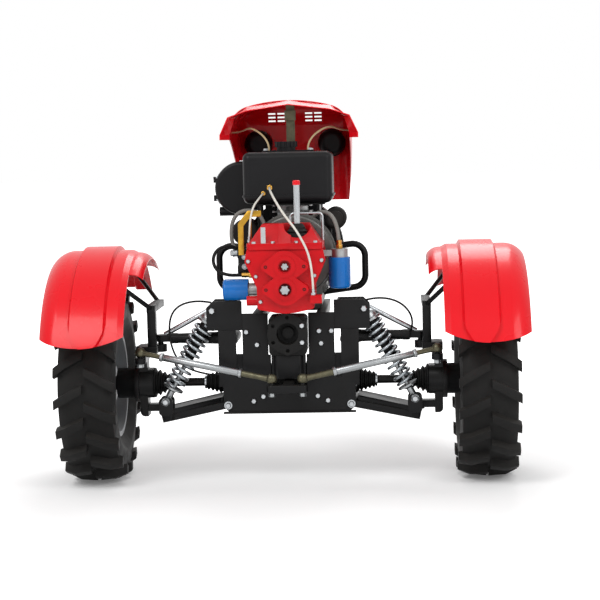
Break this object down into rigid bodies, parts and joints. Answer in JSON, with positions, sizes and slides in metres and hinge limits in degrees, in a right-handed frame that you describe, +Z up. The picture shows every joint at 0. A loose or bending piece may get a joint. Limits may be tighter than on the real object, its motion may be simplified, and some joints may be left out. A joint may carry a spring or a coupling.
{
  "type": "power tiller",
  "caption": "Front drive unit of a power tiller: steered wheels with fenders on sprung wishbones, a geared case with PTO outputs, a small engine, tank and red bonnet.",
  "frame": {"origin": "centre of the rear coupling flange's face, where the rear half of the machine bolts on", "axes": "+X to the right seen from behind, +Y forward, +Z up; the wheels' ground line is 528 mm below the origin"},
  "size_m": [1.638, 1.1289, 1.3396],
  "materials": {
    "black_steel": "black gloss paint on folded steel",
    "black_casting": "black paint on cast iron",
    "red_casting": "red gloss paint on cast iron",
    "red_sheet": "red gloss paint on sheet steel",
    "bright_steel": "bright zinc-plated steel",
    "aluminium": "as-cast aluminium",
    "black_plastic": "black moulded plastic",
    "black_metal": "black heat-proof paint",
    "blue_paint": "blue enamel",
    "zinc": "yellow zinc plating",
    "hose_rubber": "grey braid and sheath",
    "rubber": "black rubber",
    "lens": "clear lamp lens",
    "rim_steel": "grey paint on pressed steel",
    "tyre": "black rubber"
  },
  "bodies": {
    "chassis": {"air_cleaner": "black_plastic", "alternator": "black_metal", "bell_housing": "aluminium", "bonnet": "red_sheet", "bonnet_stay": "bright_steel", "boot_left": "rubber", "boot_right": "rubber", "brace_rods": "bright_steel", "coil_springs": "bright_steel", "control_cable": "hose_rubber", "coupling_case": "black_casting", "crankcase": "aluminium", "cylinder": "aluminium", "differential": "black_casting", "fan_shroud": "black_plastic", "filter_heads": "aluminium", "filters": "blue_paint", "frame_rails": "black_steel", "fuel_tank": "black_plastic", "gear_lever": "bright_steel", "gearbox_case": "red_casting", "gearbox_lid": "red_casting", "guards": "black_steel", "half_shafts": "bright_steel", "headlamp_lenses": "lens", "headlamps": "black_plastic", "hoses": "hose_rubber", "inner_boots": "rubber", "lamp_wires": "hose_rubber", "lever_cap": "red_sheet", "lower_arms": "black_steel", "muffler": "black_metal", "pto_cover": "red_casting", "pto_shafts": "bright_steel", "rear_plate": "black_steel", "rocker_cover": "aluminium", "shift_boot": "rubber", "shift_linkage": "bright_steel", "shock_absorbers": "bright_steel", "shock_towers": "black_steel", "steering_box": "black_steel", "tank_bracket": "black_steel", "tank_cap": "black_plastic", "throttle_bracket": "zinc", "upper_arms": "black_steel"},
    "steering_arm": {"steering_arm": "black_steel"},
    "tie_rod_left": {"tie_rod_left": "bright_steel"},
    "tie_rod_right": {"tie_rod_right": "bright_steel"},
    "knuckle_left": {"knuckle_left": "black_steel", "fender_left": "red_sheet", "fender_bracket_left": "black_steel"},
    "knuckle_right": {"knuckle_right": "black_steel", "fender_right": "red_sheet", "fender_bracket_right": "black_steel"},
    "wheel_left": {"rim_left": "rim_steel", "tyre_left": "tyre"},
    "wheel_right": {"rim_right": "rim_steel", "tyre_right": "tyre"}
  },
  "joints": [
    {"name": "steer_left", "type": "hinge", "parent": "chassis", "child": "knuckle_left", "pos_m": [-0.461, 0.16, -0.183], "axis": [0, 0, 1], "range_deg": [-28, 28], "deforming": ["boot_left"]},
    {"name": "steer_right", "type": "hinge", "parent": "chassis", "child": "knuckle_right", "pos_m": [0.461, 0.16, -0.183], "axis": [0, 0, 1], "range_deg": [-28, 28], "deforming": ["boot_right"]},
    {"name": "steering_arm_swing", "type": "hinge", "parent": "chassis", "child": "steering_arm", "pos_m": [0, 0.072, -0.165], "axis": [0, 0, 1], "range_deg": [-28, 28]},
    {"name": "tie_rod_left_pivot", "type": "hinge", "parent": "knuckle_left", "child": "tie_rod_left", "pos_m": [-0.514, 0.01, -0.058], "axis": [0, 0, 1], "range_deg": [-28, 28]},
    {"name": "tie_rod_right_pivot", "type": "hinge", "parent": "knuckle_right", "child": "tie_rod_right", "pos_m": [0.514, 0.01, -0.058], "axis": [0, 0, 1], "range_deg": [-28, 28]},
    {"name": "wheel_left_spin", "type": "hinge", "parent": "knuckle_left", "child": "wheel_left", "pos_m": [-0.67, 0.16, -0.183], "axis": [1, 0, 0], "continuous": true},
    {"name": "wheel_right_spin", "type": "hinge", "parent": "knuckle_right", "child": "wheel_right", "pos_m": [0.67, 0.16, -0.183], "axis": [1, 0, 0], "continuous": true}
  ],
  "couplings": [
    {"joint": "steer_right", "follows": "steer_left", "ratio": 1},
    {"joint": "steering_arm_swing", "follows": "steer_left", "ratio": 1},
    {"joint": "tie_rod_left_pivot", "follows": "steer_left", "ratio": -1},
    {"joint": "tie_rod_right_pivot", "follows": "steer_left", "ratio": -1}
  ]
}
